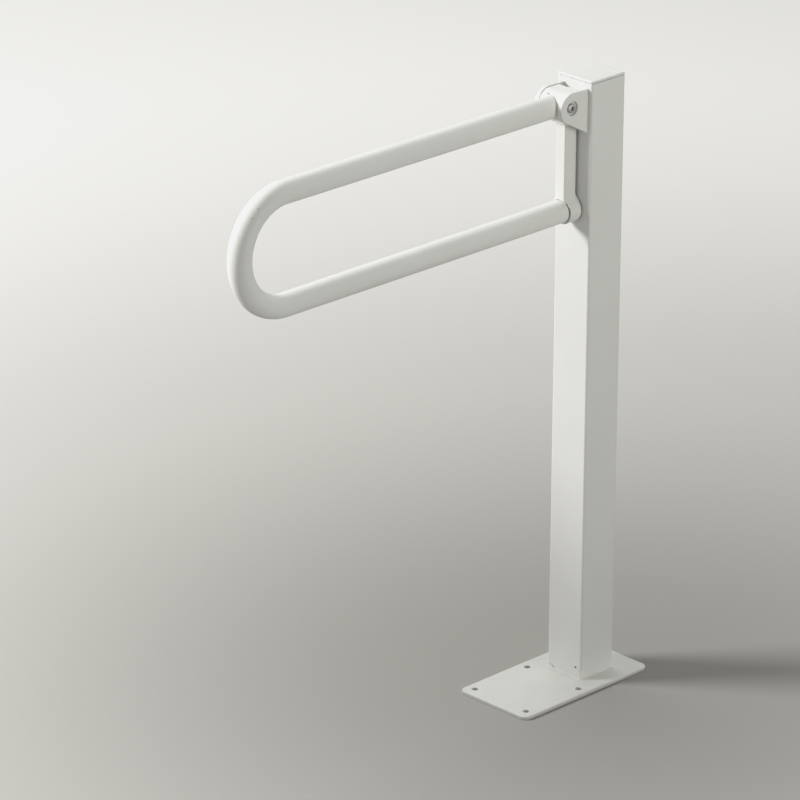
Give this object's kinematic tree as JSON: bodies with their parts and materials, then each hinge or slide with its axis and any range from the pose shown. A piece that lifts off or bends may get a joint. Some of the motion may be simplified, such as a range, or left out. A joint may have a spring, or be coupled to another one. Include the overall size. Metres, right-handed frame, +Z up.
{
  "type": "fold-up toilet support rail on floor post",
  "caption": "Square floor post on a base plate with a U-bent grab arm hinged near its top, level in use and folded upright out of the way.",
  "frame": {"origin": "on the floor, on the axis of the square post, at the underside of the base plate", "axes": "+Z up along the post; the arm reaches towards -Y when it is down; +X is the side the pivot bolt's head is on; the hinge axis is along X"},
  "size_m": [0.12, 0.6775, 0.82],
  "materials": {
    "white_powder_coat": "white powder coat, satin, fine orange peel",
    "stainless_steel": "satin stainless steel",
    "zinc_plated_steel": "dull bright zinc plating",
    "natural_nylon": "natural nylon, as moulded",
    "dark_rubber": "matt dark rubber",
    "white_plastic": "white moulded plastic, satin"
  },
  "bodies": {
    "stand": {"base_plate": "white_powder_coat", "base_weld": "white_powder_coat", "post_tube": "white_powder_coat", "post_cap": "white_plastic", "hinge_ear_right": "white_powder_coat", "hinge_ear_left": "white_powder_coat", "ear_weld_right": "white_powder_coat", "ear_weld_left": "white_powder_coat", "pivot_bolt": "stainless_steel", "disc_spring_inner": "zinc_plated_steel", "disc_spring_outer": "zinc_plated_steel", "nut_washer": "zinc_plated_steel", "pivot_nut": "stainless_steel", "thrust_washer_right": "stainless_steel", "thrust_washer_left": "stainless_steel"},
    "arm": {"arm_tube": "white_powder_coat", "hinge_knuckle": "white_powder_coat", "bush_right": "natural_nylon", "bush_left": "natural_nylon", "knuckle_set_screw": "stainless_steel", "upper_tube_screw": "stainless_steel", "lower_tube_screw": "stainless_steel", "lower_seal_ring": "dark_rubber", "stop_buffer": "dark_rubber"}
  },
  "joints": [
    {"name": "arm_fold", "type": "hinge", "parent": "stand", "child": "arm", "pos_m": [0, -0.058, 0.79], "axis": [-1, 0, 0], "range_deg": [0, 90]}
  ]
}
